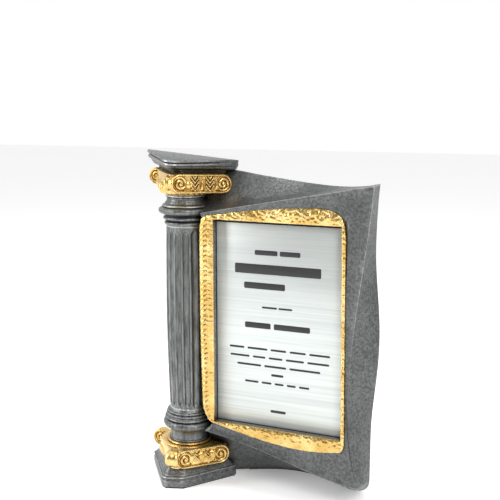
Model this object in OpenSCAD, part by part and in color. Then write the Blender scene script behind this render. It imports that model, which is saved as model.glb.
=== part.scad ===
// Column trophy: a fluted column with gold scroll blocks beside a swept sail
// panel, which carries a gold bezel and a flat name plate.
// Millimetres. +Z is up, -Y is the front, and the origin is the middle of the
// footprint, at floor level. Everything but the felt pads stands pad_t above it.

/* [Column] */
// Distance of the column's axis left of the middle of the footprint
column_left = 46.9; // [46:0.1:48]
// Distance of the column's axis in front of the middle of the footprint
column_front = 6.5; // [4:0.1:8]
// Distance from the column's axis to the flat back of the column
column_back = 9; // [7:0.5:10]
// Shaft radius at its foot
shaft_foot_r = 12.4; // [12:0.1:13]
// Shaft radius at its widest, half-way up
shaft_mid_r = 13.7; // [13:0.1:14]
// Shaft radius at its top
shaft_top_r = 12.9; // [12:0.1:13.5]
// Number of flutes round a full shaft
flute_count = 16; // [12:2:20]
// Radius of one flute's round section
flute_r = 2.1; // [1.6:0.1:2.4]

/* [Column levels] */
// Height of the top of the plinth
plinth_top = 13; // [12:0.5:15]
// Height of the top of the lower scroll block's body
base_block_top = 27; // [25:0.5:28]
// Height of the top of the lower collar
base_collar_top = 49; // [47:0.5:51]
// Height of the top of the shaft
shaft_top = 168; // [164:0.5:169]
// Height of the top of the upper collar
neck_collar_top = 187; // [186:0.5:188]
// Height of the top of the capital
capital_top = 201.5; // [200:0.5:202]
// Height of the underside of the abacus slab
abacus_bottom = 204; // [203:0.5:205]
// Height of the abacus at the column's axis
abacus_top = 211.5; // [210:0.1:213]

/* [Square blocks] */
// Distance from the column's axis to the plinth's left corner
plinth_left = 31.8; // [30:0.1:32.5]
// Distance from the column's axis to the plinth's right corner, at its flat back
plinth_right = 29.5; // [28:0.1:31]
// Half the abacus's width
abacus_half_w = 30.6; // [30:0.2:32]
// Distance from the column's axis to the abacus's front
abacus_front = 24.6; // [23:0.2:26]
// How far the capital and the abacus stand right of the column's axis
block_shift = 1; // [0:0.1:2]
// How far the capital and the abacus lean up to the left, in degrees
capital_lean = 3; // [0:0.5:4]
// Distance from the capital's middle to its two slanted scroll bands
capital_band_reach = 17.6; // [17:0.1:18.2]
// Distance from the lower block's middle to its two slanted scroll bands
base_band_reach = 18.4; // [17.8:0.1:18.8]
// Radius of the scrolls at the ends of the capital's bands
capital_scroll_r = 5.9; // [5:0.1:6.2]
// Radius of the scrolls at the ends of the lower block's bands
base_scroll_r = 6.2; // [5.8:0.1:6.4]
// Thickness of a scroll band
band_t = 7; // [5:0.5:8]
// Distance from the column's axis to the middle of the round front corner
front_corner_y = 20.6; // [20:0.1:21]

/* [Panel] */
// Distance from the column's axis to the panel's right corner, at its front
corner_x = 123; // [120:0.5:124]
// Height of the panel's right corner
corner_z = 198; // [196:0.5:199]
// Depth of the front ridge in front of the column's axis
ridge_front = 14; // [13.5:0.1:15]
// Distance from the column's axis back to the panel's flat back
panel_back = 9; // [8:0.5:10]
// How far the foot curves back behind the column's back
foot_sweep = 20; // [12:1:21]
// Width of the band that the foot stands on
foot_band = 8; // [6:0.5:10]
// Height over which the back flares out into the foot
flare_h = 75; // [50:1:90]

/* [Name plate] */
// Distance from the column's axis to the recess's lower left corner
recess_left = 23.6; // [23.4:0.1:24]
// Width of the recess along its lower edge
recess_foot_w = 82.6; // [82:0.1:83]
// Width of the recess along its upper edge
recess_head_w = 80.8; // [80:0.1:82]
// Height of the recess's lower edge
recess_foot_z = 45.3; // [45:0.1:46]
// Height of the recess's upper edge
recess_head_z = 174.1; // [173:0.1:174.4]
// Gap above the plate, under the recess's upper edge
plate_head_gap = 2; // [1:0.1:3]
// Gap between the plate and the recess, on the other three sides
plate_gap = 0.25; // [0.1:0.05:0.5]
// Thickness of the name plate
plate_t = 0.8; // [0.5:0.1:1]
// Thickness of the adhesive tape behind the plate
tape_t = 0.5; // [0.3:0.1:0.8]
// Depth of the plate's face in front of the column's axis
plate_front = 7.2; // [6.5:0.1:8]

/* [Bezel] */
// Depth of the bezel's seat in front of the column's axis
bezel_seat = 10.4; // [10:0.1:11]
// Thickness of the bezel
bezel_t = 2.4; // [1.8:0.1:2.6]

/* [Fixings and pads] */
// Radius of the tie rod
rod_r = 2.5; // [2:0.5:3]
// Radius of the hole that the tie rod passes through
rod_hole_r = 2.8; // [2.6:0.1:3.2]
// Radius of the panel dowels
dowel_r = 2; // [1.5:0.5:2]
// Length of a panel dowel
dowel_len = 14; // [12:1:15]
// Thickness of the felt pads
pad_t = 0.8; // [0.8:0.1:1.5]

/* [Hidden] */
$fn = 64;
eps = 0.01;

silver = [0.45, 0.46, 0.47];
gold = [0.83, 0.66, 0.32];
plate_grey = [0.80, 0.83, 0.82];
steel = [0.62, 0.62, 0.64];
brass = [0.72, 0.60, 0.30];
felt_black = [0.10, 0.10, 0.11];
ink_black = [0.08, 0.08, 0.09];

// The plinth's corners round its front, from the left one to the right one.
plinth_corners = [[-plinth_left, 8], [-8.5, -24], [-5.5, -25.4], [5.6, -21.8],
                  [plinth_right, column_back]];
// Angles between the front and the slanted sides of the scroll blocks and abacus.
block_slant = 46;
abacus_slant = 49;
abacus_lean = [0, 5, 0];
// Plans of the blocks behind the scroll bands, and of the abacus's narrow foot.
body_half_w = 25;
body_cut = 2;
base_body_front = 22.6;
capital_body_front = 21.6;
base_seat_h = 2;
abacus_foot_half_w = 22;
abacus_foot_front = 19;
// Width of the round front corner between two scroll bands.
front_corner_w = 6;
// How far a band's left and right ends lie from its middle, along the band.
capital_band_ends = [-16.6, 22.6];
base_band_ends = [-15.8, 20.6];
// How far a scroll's coil stands proud of its band.
coil_rise = 0.6;
// Size of the blocks that cut flat faces.
far = 200;
rod_bottom = 4;
nut_h = 4;
nut_across = 8;
washer_t = 1;
washer_r = 5;
nut_pocket_r = 6.5;
nut_pocket_top = 10;
insert_r = 3.5;
insert_top = 208.5;
insert_hole_gap = 0.5;
// How far the scroll bands stand above their block's nearest edge.
scroll_rise = 0.4;
// Radius that the scroll blocks leave clear for the collars.
collar_clear_r = 17.1;
tape_inset = 4;
dowel_gap = 0.05;
dowel_start = 7;
dowel_back = 1.5;
dowel_levels = [62, 110, 158];
// The ridge's left end tucks in beside the shaft.
ridge_left = 16.2;
panel_left = 3;
panel_top_left_z = 205;
rear_left_y = 5;
foot_left = 10;
foot_right = 123;
corner_edge_x = 121.4;
corner_edge_z = 18;
foot_end_x = 104;
// Points along each side of the panel's outlines.
side_steps = 14;
steps_of = [side_steps, 2 * side_steps, side_steps, side_steps];

// ---- curves ----

// A point at t along a cubic curve with ends a and d.
function cubic(a, b, c, d, t) =
    a * pow(1 - t, 3) + b * 3 * t * pow(1 - t, 2) + c * 3 * t * t * (1 - t) + d * t * t * t;

// The points of a cubic curve, without its last one.
function curve(a, b, c, d, n) = [for (i = [0:n - 1]) cubic(a, b, c, d, i / n)];

// How far the outline's right side swells at a height.
function bulge(z) =
    abs(z - 105) < 60 ? 3.7 * pow(cos(1.5 * (z - 105)), 2) : 0;

// The foot's front edge, behind the column's axis.
function foot_y(x) =
    let (turn = 180 * (x - foot_left) / (foot_right - foot_left))
    column_back + 1 + foot_sweep * pow(max(0, sin(max(0, min(180, turn)))), 1.5);

// The panel's back surface: flat above, flared into the foot below.
function back_y(x, z) =
    panel_back + (z < flare_h
        ? (foot_y(x) + foot_band - panel_back) * pow(1 - (z - pad_t) / (flare_h - pad_t), 2)
        : 0);

// ---- the panel's outlines: top, right, bottom and left sides, as [x, y, z] ----

function ridge_top(t) =
    let (p = cubic([ridge_left, 177.7], [50, 184.4], [90, 191.6], [corner_x, corner_z], t))
    [p[0], -ridge_front, p[1]];
function ridge_right(t) =
    let (p = cubic([corner_x, corner_z], [119, 140], [100, 70], [118, 17], t))
    [p[0], -ridge_front, p[1]];
function ridge_bottom(t) =
    let (p = cubic([118, 17], [90, 18.5], [60, 34], [ridge_left, 38.6], t))
    [p[0], -ridge_front, p[1]];
function ridge_side(t) = [ridge_left, -ridge_front, 38.6 + (177.7 - 38.6) * t];

function rear_top(t) =
    let (p = cubic([panel_left, panel_top_left_z], [60, 201.5], [95, 191], [corner_x, corner_z], t))
    [p[0], rear_left_y * (1 - t), p[1]];
function rear_right(t) =
    let (z = corner_z - (corner_z - corner_edge_z) * t)
    [corner_edge_x + bulge(z) + (corner_x - corner_edge_x) * pow(1 - t, 12), 0, z];
function rear_bottom(t) =
    let (p = cubic([corner_edge_x, 0, corner_edge_z], [121, 2, 8], [112, 10, 4],
                   [foot_end_x, foot_y(foot_end_x), pad_t], min(1, 4 * t)),
         x = foot_end_x - (foot_end_x - panel_left) * max(0, (4 * t - 1) / 3))
    t < 0.25 ? p : [x, foot_y(x), pad_t];
function rear_side(t) = [panel_left, 0, pad_t + (panel_top_left_z - pad_t) * t]
    + [0, foot_y(panel_left) * pow(1 - t, 8) + rear_left_y * t, 0];

function back_point(p) =
    let (x = min(p[0], corner_edge_x + bulge(p[2]) - 4),
         z = p[2] > corner_z - 8 ? p[2] - 1.5 : max(pad_t, p[2]))
    [x, back_y(x, z), z];

function ridge_ring() = concat(
    [for (i = [0:steps_of[0] - 1]) ridge_top(i / steps_of[0])],
    [for (i = [0:steps_of[1] - 1]) ridge_right(i / steps_of[1])],
    [for (i = [0:steps_of[2] - 1]) ridge_bottom(i / steps_of[2])],
    [for (i = [0:steps_of[3] - 1]) ridge_side(i / steps_of[3])]);
function rear_ring() = concat(
    [for (i = [0:steps_of[0] - 1]) rear_top(i / steps_of[0])],
    [for (i = [0:steps_of[1] - 1]) rear_right(i / steps_of[1])],
    [for (i = [0:steps_of[2] - 1]) rear_bottom(i / steps_of[2])],
    [for (i = [0:steps_of[3] - 1]) rear_side(i / steps_of[3])]);

// How deep the web behind the ridge is coved: most beside the column, not at all on the right.
cove_weights = concat(
    [for (i = [0:steps_of[0] - 1]) 1 - i / steps_of[0]],
    [for (i = [0:steps_of[1] - 1]) 0],
    [for (i = [0:steps_of[2] - 1]) 0.6 * i / steps_of[2]],
    [for (i = [0:steps_of[3] - 1]) 0.6 + 0.4 * i / steps_of[3]]);

// A ring a share of the way from one ring to another. Its depth runs ahead of its height
// where the web is coved.
function between(a, b, share, lead) =
    [for (i = [0:len(a) - 1])
        let (p = a[i] * (1 - share) + b[i] * share)
        [p[0], p[1] + (b[i][1] - a[i][1]) * lead * cove_weights[i], p[2]]];

// A ring on the back surface, shrunk towards the middle of the panel.
function back_inner(ring, share) =
    [for (p = ring)
        let (x = 66 + (p[0] - 66) * share, z = 108 + (p[2] - 108) * share)
        [x, back_y(x, z), z]];
// A ring on the dished front face.
function front_inner(ring, share, y) =
    [for (p = ring) [66 + (p[0] - 66) * share, -y, 108 + (p[2] - 108) * share]];

panel_front = bezel_seat + bezel_t - 0.4;

module panel_body() {
    ridge = ridge_ring();
    rear = rear_ring();
    back = [for (p = rear) back_point(p)];
    rings = [front_inner(ridge, 0.93, panel_front), ridge, between(ridge, rear, 0.12, 0.35),
             between(ridge, rear, 0.35, 0.45), between(ridge, rear, 0.65, 0.3), rear, back,
             back_inner(back, 0.8),
             back_inner(back, 0.6), back_inner(back, 0.3)];
    n = len(ridge);
    last = len(rings) - 1;
    points = concat([for (r = rings) each r],
                    [[66, -panel_front, 108], [66, back_y(66, 108), 108]]);
    skin = [for (k = [0:last - 1], i = [0:n - 1])
        let (j = (i + 1) % n)
        each [[k * n + i, k * n + j, (k + 1) * n + j], [k * n + i, (k + 1) * n + j, (k + 1) * n + i]]];
    front = [for (i = [0:n - 1]) [i, n * (last + 1), (i + 1) % n]];
    rear_cap = [for (i = [0:n - 1]) [last * n + (i + 1) % n, n * (last + 1) + 1, last * n + i]];
    polyhedron(points = points, faces = concat(skin, front, rear_cap), convexity = 6);
}

// ---- shared shapes ----

// Moves a piece from the column's axis to the trophy's frame.
module placed() {
    translate([-column_left, -column_front, 0]) children();
}

// Takes away everything behind the column's flat back.
module flat_backed() {
    difference() {
        children();
        translate([-far / 2, column_back, -far / 2]) cube([far, far, 2 * far]);
    }
}

module rod_hole(r = rod_hole_r) {
    translate([0, 0, -far / 2]) cylinder(h = 2 * far, r = r);
}

module rod_hole_up_to(z) {
    translate([0, 0, z - far]) cylinder(h = far, r = rod_hole_r);
}

// A ring with a half-round edge, as a profile: centre height, reach and half height.
module bead(z, reach, half_h) {
    translate([reach - half_h, z]) circle(r = half_h, $fn = 12);
    translate([0, z - half_h]) square([reach - half_h, 2 * half_h]);
}

// Plan of a block with two slanted sides and a cut front corner.
module block_plan(half_w, front, cut_half, slant) {
    back = column_back + 1;
    side_y = min(column_back, (half_w - cut_half) * tan(slant) - front);
    polygon([[-half_w, back], [-half_w, side_y], [-cut_half, -front],
             [cut_half, -front], [half_w, side_y], [half_w, back]]);
}

// Plan of the plinth, all of its sides set back by about the same amount.
module plinth_plan(set_back) {
    back = column_back + 1;
    corners = [for (p = plinth_corners) p * (1 - set_back / plinth_left)];
    polygon(concat([[corners[0][0], back]], corners, [[corners[4][0], back]]));
}

// A scroll band facing the front: a slab between two round ends, each with a stepped coil.
// The coils' grooves are filled in the shape that the panel is cut to.
module band(r, reach, ends, filled) {
    translate([0, -reach, 0]) rotate([90, 0, 0]) translate([0, 0, -band_t]) {
        for (u = [ends[0] + r, ends[1] - r]) translate([u, 0, 0]) {
            cylinder(h = band_t, r = r);
            cylinder(h = band_t + coil_rise, r = 0.3 * r);
            difference() {
                cylinder(h = band_t + coil_rise, r = 0.9 * r);
                if (!filled) translate([0, 0, band_t - 1]) cylinder(h = 2, r = 0.62 * r);
            }
        }
        translate([ends[0] + r, -0.95 * r, 0])
            cube([ends[1] - ends[0] - 2 * r, 1.9 * r, band_t + coil_rise / 2]);
    }
}

// A block's two slanted bands, with a round corner between them at the front.
module scrolls(z, r, reach, ends, filled) {
    translate([0, 0, z]) {
        rotate([0, 0, 45]) band(r, reach, ends, filled);
        mirror([1, 0, 0]) rotate([0, 0, 45]) band(r, reach, ends, filled);
        translate([-front_corner_w / 2, -front_corner_y, 0])
            rotate([0, 90, 0]) cylinder(h = front_corner_w, r = 0.84 * r);
    }
}

// Shapes that lean with the capital, about a point on the column's axis.
module leaning(z) {
    translate([0, 0, z]) rotate([0, capital_lean, 0]) translate([0, 0, -z]) children();
}

// ---- envelopes that the panel is cut to ----

module plinth_shape() {
    edge_z = plinth_top - 6;
    translate([0, 0, pad_t]) linear_extrude(height = edge_z - pad_t) plinth_plan(0);
    // Each step: how far up it starts, how far it is set back and how high it is.
    for (step = [[0, 1.2, 1.5], [1.5, 2.4, 2.5], [4, 3.4, 2]])
        translate([0, 0, edge_z + step[0] - eps])
            linear_extrude(height = step[2] + eps) plinth_plan(step[1]);
}

module base_block_shape(filled = false) {
    scrolls(plinth_top + base_scroll_r + scroll_rise, base_scroll_r, base_band_reach,
            base_band_ends, filled);
    translate([0, 0, plinth_top])
        linear_extrude(height = base_block_top - plinth_top - base_seat_h)
            block_plan(body_half_w, base_body_front, body_cut, block_slant);
    translate([0, 0, base_block_top - base_seat_h]) cylinder(h = base_seat_h, r = 13.6);
}

module capital_shape(filled = false) {
    leaning(capital_top) translate([block_shift, 0, 0]) {
        scrolls(capital_top - capital_scroll_r + scroll_rise, capital_scroll_r,
                capital_band_reach, capital_band_ends, filled);
        translate([0, 0, neck_collar_top + 5])
            linear_extrude(height = capital_top - neck_collar_top - 5)
                block_plan(body_half_w, capital_body_front, body_cut, block_slant);
    }
    rotate_extrude() {
        translate([0, neck_collar_top]) square([13, 4]);
        bead(neck_collar_top + 5, 18, 3);
    }
}

module abacus_shape() {
    difference() {
        leaning(capital_top) translate([block_shift, 0, 0]) {
            // A narrow foot that stands on the capital, between its scrolls.
            translate([0, 0, capital_top])
                linear_extrude(height = abacus_bottom - capital_top + 1)
                    block_plan(abacus_foot_half_w, abacus_foot_front, 3, block_slant);
            translate([0, 0, abacus_bottom])
                linear_extrude(height = 2.4)
                    block_plan(abacus_half_w - 1.6, abacus_front - 1.6, 2.6, abacus_slant);
            translate([0, 0, abacus_bottom + 2])
                linear_extrude(height = 14)
                    block_plan(abacus_half_w, abacus_front, 3.2, abacus_slant);
        }
        translate([0, 0, abacus_top])
            rotate(abacus_lean)
                translate([-far / 2, -far / 2, 0])
                    cube([far, far, far]);
    }
}

module base_collar_profile() {
    translate([0, base_block_top]) square([11.9, 7]);
    bead(base_block_top + 0.9, 12.9, 0.9);
    translate([0, base_block_top + 6]) square([13.6, 10]);
    bead(37.6, 17, 3.4);
    bead(42.4, 15.6, 1.2);
    translate([0, 43.5]) square([13.4, base_collar_top - 43.5]);
    bead(44.9, 14.6, 0.9);
    bead(47, 14, 0.8);
}

module shaft_profile() {
    mid_z = (base_collar_top + shaft_top) / 2;
    left = curve([shaft_foot_r, base_collar_top], [shaft_mid_r + 0.3, mid_z - 20],
                 [shaft_mid_r + 0.3, mid_z + 20], [shaft_top_r, shaft_top], 12);
    polygon(concat([[0, base_collar_top]], left, [[shaft_top_r, shaft_top], [0, shaft_top]]));
}

module neck_collar_profile() {
    translate([0, shaft_top]) square([12.2, neck_collar_top - shaft_top]);
    bead(shaft_top + 1.6, 14.1, 1.1);
    bead(shaft_top + 5, 14.9, 1.2);
    translate([0, shaft_top + 6.6]) square([14.6, 7]);
    bead(shaft_top + 10, 17.7, 2.4);
    bead(shaft_top + 13.6, 15, 1);
}

module column_envelope() {
    flat_backed() {
        plinth_shape();
        base_block_shape(true);
        rotate_extrude() base_collar_profile();
        rotate_extrude() shaft_profile();
        rotate_extrude() neck_collar_profile();
        capital_shape(true);
        abacus_shape();
    }
}

// ---- bezel outline ----

function bezel_outline() = concat(
    curve([14.6, 168], [15, 174], [17, 176], [22, 176.6], 6),
    curve([22, 176.6], [45, 180.5], [70, 183.6], [90, 183.6], 12),
    curve([90, 183.6], [102.5, 183.6], [106.5, 180.5], [107, 166], 8),
    curve([107, 166], [107.2, 125], [108, 80], [108.4, 43], 12),
    curve([108.4, 43], [108.2, 40], [106, 38], [103.5, 37.8], 4),
    curve([103.5, 37.8], [78, 32.5], [50, 38.5], [22, 44.6], 12),
    curve([22, 44.6], [19.5, 45.6], [17.2, 49], [15.9, 54], 4),
    curve([15.9, 54], [14.4, 90], [14.2, 130], [14.6, 168], 12));

// Extrudes a plan drawn in x and z forwards, from one depth to another.
module forward(from, to) {
    translate([0, -from, 0]) rotate([90, 0, 0]) linear_extrude(height = to - from) children();
}

module recess_plan(gap, head_gap) {
    left = recess_left + gap;
    foot_right = recess_left + recess_foot_w - gap;
    head_right = recess_left + recess_head_w - gap;
    head_z = recess_head_z - head_gap;
    polygon([[left, recess_foot_z + gap], [foot_right, recess_foot_z + gap],
             [head_right, head_z], [left, head_z]]);
}

module dowel_row(r) {
    for (z = dowel_levels)
        translate([dowel_start, dowel_back, z]) rotate([0, 90, 0]) cylinder(h = dowel_len, r = r);
}

// ---- sub-parts ----

module plinth() {
    color(silver) placed() flat_backed() difference() {
        plinth_shape();
        rod_hole();
        translate([0, 0, -eps]) cylinder(h = nut_pocket_top + eps, r = nut_pocket_r);
    }
}

module base_scroll_block() {
    color(gold) placed() flat_backed() difference() {
        base_block_shape();
        rod_hole();
        translate([0, 0, base_block_top]) cylinder(h = far, r = collar_clear_r);
    }
}

module base_collar() {
    color(silver) placed() flat_backed() difference() {
        rotate_extrude() base_collar_profile();
        rod_hole();
    }
}

module fluted_shaft() {
    color(silver) placed() flat_backed() difference() {
        rotate_extrude() shaft_profile();
        rod_hole();
        dowel_row(dowel_r + dowel_gap);
        for (i = [0:flute_count - 1])
            rotate([0, 0, (i + 0.5) * 360 / flute_count]) {
                translate([shaft_mid_r + 0.6, 0, base_collar_top + 4])
                    cylinder(h = shaft_top - base_collar_top - 8, r = flute_r, $fn = 24);
                for (z = [base_collar_top + 4, shaft_top - 4])
                    translate([shaft_mid_r + 0.6, 0, z]) sphere(r = flute_r, $fn = 24);
            }
    }
}

module neck_collar() {
    color(silver) placed() flat_backed() difference() {
        rotate_extrude() neck_collar_profile();
        rod_hole();
    }
}

module capital_scroll_block() {
    color(gold) placed() flat_backed() difference() {
        capital_shape();
        rod_hole();
    }
}

module abacus() {
    color(silver) placed() flat_backed() difference() {
        abacus_shape();
        translate([0, 0, abacus_bottom])
            cylinder(h = insert_top - abacus_bottom + insert_hole_gap, r = insert_r);
        rod_hole_up_to(abacus_bottom + eps);
    }
}

module sail_panel() {
    color(silver) placed() difference() {
        panel_body();
        column_envelope();
        forward(bezel_seat, far) polygon(bezel_outline());
        forward(plate_front - plate_t - tape_t, far) recess_plan(0, 0);
        dowel_row(dowel_r + dowel_gap);
    }
}

module gold_bezel() {
    color(gold) placed() forward(bezel_seat, bezel_seat + bezel_t) difference() {
        polygon(bezel_outline());
        recess_plan(-0.2, -0.2);
    }
}

module name_plate() {
    color(plate_grey) placed()
        forward(plate_front - plate_t, plate_front) recess_plan(plate_gap, plate_head_gap);
}

// Rows of dashes that stand for print: height, centre, length, dash height and dashes.
print_rows = [[154.7, 63.5, 30, 4, 5], [144.5, 63.5, 57, 8, 6], [134.2, 55.5, 28, 5, 4],
              [121, 63.5, 20, 1.6, 6], [109.4, 63.6, 43, 5, 6], [94.6, 64.8, 66, 2, 12],
              [89.3, 64.8, 66, 2, 11], [84, 64.4, 56, 2, 9], [78.7, 64, 9, 2, 2],
              [73.2, 63.6, 44, 2, 8], [55.4, 64.7, 10.5, 2.4, 2]];
print_t = 0.12;

module plate_print() {
    color(ink_black) placed() forward(plate_front, plate_front + print_t)
        for (row = print_rows) {
            pitch = 0.92 * row[2] / row[4];
            for (i = [0:row[4] - 1])
                translate([row[1] + (i - row[4] / 2) * pitch, row[0]])
                    square([0.72 * pitch, row[3]]);
        }
}

module plate_tape() {
    color(felt_black) placed()
        forward(plate_front - plate_t - tape_t, plate_front - plate_t)
            recess_plan(tape_inset, plate_head_gap + tape_inset);
}

module tie_rod() {
    color(steel) placed() translate([0, 0, rod_bottom])
        cylinder(h = insert_top - 0.5 - rod_bottom, r = rod_r);
}

module tie_rod_nut() {
    color(steel) placed() translate([0, 0, nut_pocket_top - washer_t - nut_h]) difference() {
        cylinder(h = nut_h, r = nut_across / 2 / cos(30), $fn = 6);
        translate([0, 0, -eps]) cylinder(h = nut_h + 2 * eps, r = rod_r);
    }
}

module tie_rod_washer() {
    color(steel) placed() translate([0, 0, nut_pocket_top - washer_t]) difference() {
        cylinder(h = washer_t, r = washer_r);
        translate([0, 0, -eps]) cylinder(h = washer_t + 2 * eps, r = rod_hole_r);
    }
}

module abacus_insert() {
    color(brass) placed() translate([0, 0, abacus_bottom]) difference() {
        cylinder(h = insert_top - abacus_bottom, r = insert_r);
        translate([0, 0, -eps]) cylinder(h = insert_top - abacus_bottom + 2 * eps, r = rod_r);
    }
}

module panel_dowels() {
    color(steel) placed() dowel_row(dowel_r);
}

module plinth_felt() {
    color(felt_black) placed() flat_backed() linear_extrude(height = pad_t)
        plinth_plan(1);
}

module foot_felt() {
    inset = 0.8;
    // From just right of the plinth to the foot's right end.
    stations = [for (x = [34:6:foot_end_x - 4]) x];
    front = [for (x = stations) [x, foot_y(x) + inset]];
    rear = [for (i = [len(stations) - 1:-1:0])
        [stations[i], foot_y(stations[i]) + foot_band - inset]];
    color(felt_black) placed() linear_extrude(height = pad_t) polygon(concat(front, rear));
}

plinth();
base_scroll_block();
base_collar();
fluted_shaft();
neck_collar();
capital_scroll_block();
abacus();
sail_panel();
gold_bezel();
name_plate();
plate_print();
plate_tape();
tie_rod();
tie_rod_nut();
tie_rod_washer();
abacus_insert();
panel_dowels();
plinth_felt();
foot_felt();
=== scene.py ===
import math
import random

import bmesh
import bpy
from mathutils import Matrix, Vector, noise


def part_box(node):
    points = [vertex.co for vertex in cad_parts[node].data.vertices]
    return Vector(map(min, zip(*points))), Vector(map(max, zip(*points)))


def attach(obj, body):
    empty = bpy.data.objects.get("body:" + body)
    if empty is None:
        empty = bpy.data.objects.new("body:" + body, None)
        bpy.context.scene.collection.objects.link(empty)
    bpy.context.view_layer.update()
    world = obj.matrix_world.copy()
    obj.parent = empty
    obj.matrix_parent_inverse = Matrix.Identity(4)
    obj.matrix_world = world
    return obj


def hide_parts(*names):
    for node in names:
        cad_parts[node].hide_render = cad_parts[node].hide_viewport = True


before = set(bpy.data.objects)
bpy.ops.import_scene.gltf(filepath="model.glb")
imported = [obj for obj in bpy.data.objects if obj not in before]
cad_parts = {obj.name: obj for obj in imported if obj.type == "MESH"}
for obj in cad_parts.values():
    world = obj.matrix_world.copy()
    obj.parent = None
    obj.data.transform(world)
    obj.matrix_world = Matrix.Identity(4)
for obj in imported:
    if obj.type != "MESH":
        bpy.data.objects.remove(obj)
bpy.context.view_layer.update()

MM = 0.001

# ------------------------ places from the frame

ROD_LOW, ROD_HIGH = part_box("tie_rod")
AXIS_X = (ROD_LOW[0] + ROD_HIGH[0]) / 2 / MM
AXIS_Y = (ROD_LOW[1] + ROD_HIGH[1]) / 2 / MM
PLATE_LOW, PLATE_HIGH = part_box("name_plate")
BEZEL_LOW, BEZEL_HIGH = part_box("gold_bezel")
SHAFT_LOW, SHAFT_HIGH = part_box("fluted_shaft")
PLINTH_LOW, PLINTH_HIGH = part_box("plinth")
NECK_LOW, NECK_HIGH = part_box("neck_collar")
TAPE_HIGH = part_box("plate_tape")[1]

# Millimetres, measured from the column's axis. Heights are from the floor.
COLUMN_BACK = SHAFT_HIGH[1] / MM - AXIS_Y
FLOOR_GAP = PLINTH_LOW[2] / MM
PLINTH_TOP = PLINTH_HIGH[2] / MM
SHAFT_FOOT = SHAFT_LOW[2] / MM
SHAFT_TOP = NECK_LOW[2] / MM
NECK_TOP = NECK_HIGH[2] / MM
BASE_BLOCK_TOP = 27.0
CAPITAL_TOP = 201.5
ABACUS_BOTTOM = 204.0
ABACUS_TOP = 211.5
# How far the capital and the abacus stand right of the axis, and how much they lean.
BLOCK_SHIFT = 1.0
CAPITAL_LEAN = math.tan(math.radians(3))
# The recess's gaps round the plate, and how much narrower it is at its head.
PLATE_GAP = 0.25
PLATE_HEAD_GAP = 2.0
HEAD_INSET = 1.8
RECESS_LEFT = PLATE_LOW[0] / MM - AXIS_X - PLATE_GAP
RECESS_RIGHT = PLATE_HIGH[0] / MM - AXIS_X + PLATE_GAP
RECESS_FOOT = PLATE_LOW[2] / MM - PLATE_GAP
RECESS_HEAD = PLATE_HIGH[2] / MM + PLATE_HEAD_GAP
RECESS = ((RECESS_LEFT, RECESS_HEAD), (RECESS_RIGHT - HEAD_INSET, RECESS_HEAD),
          (RECESS_RIGHT, RECESS_FOOT), (RECESS_LEFT, RECESS_FOOT))
PLATE_FACE = PLATE_LOW[1] / MM - AXIS_Y
PLATE_BACK = PLATE_HIGH[1] / MM - AXIS_Y
RECESS_FLOOR = TAPE_HIGH[1] / MM - AXIS_Y
BEZEL_SEAT = BEZEL_HIGH[1] / MM - AXIS_Y
BEZEL_FACE = BEZEL_LOW[1] / MM - AXIS_Y


def place(p):
    """A point in millimetres about the column's axis, as metres in the frame."""
    return ((p[0] + AXIS_X) * MM, (p[1] + AXIS_Y) * MM, p[2] * MM)


# ------------------------ small maths

def mix(a, b, t):
    return a + (b - a) * t


def clamp(v, low=0.0, high=1.0):
    return max(low, min(high, v))


def smooth(edge0, edge1, v):
    t = clamp((v - edge0) / (edge1 - edge0))
    return t * t * (3 - 2 * t)


def bump(v, half):
    """A round ridge of height 1 and the given half width."""
    t = abs(v) / half
    return math.sqrt(1 - t * t) if t < 1 else 0.0


def cubic(a, b, c, d, t):
    s = 1 - t
    return tuple(a[i] * s ** 3 + 3 * b[i] * s * s * t + 3 * c[i] * s * t * t + d[i] * t ** 3
                 for i in range(len(a)))


def lerp(a, b, t):
    return tuple(x + (y - x) * t for x, y in zip(a, b))


def wobble(p, size, seed):
    """Smooth noise from -1 to 1, with features about `size` millimetres across."""
    return noise.noise(Vector((p[0] / size + seed, p[1] / size - seed, p[2] / size + 2 * seed)))


# ------------------------ mesh building

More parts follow.
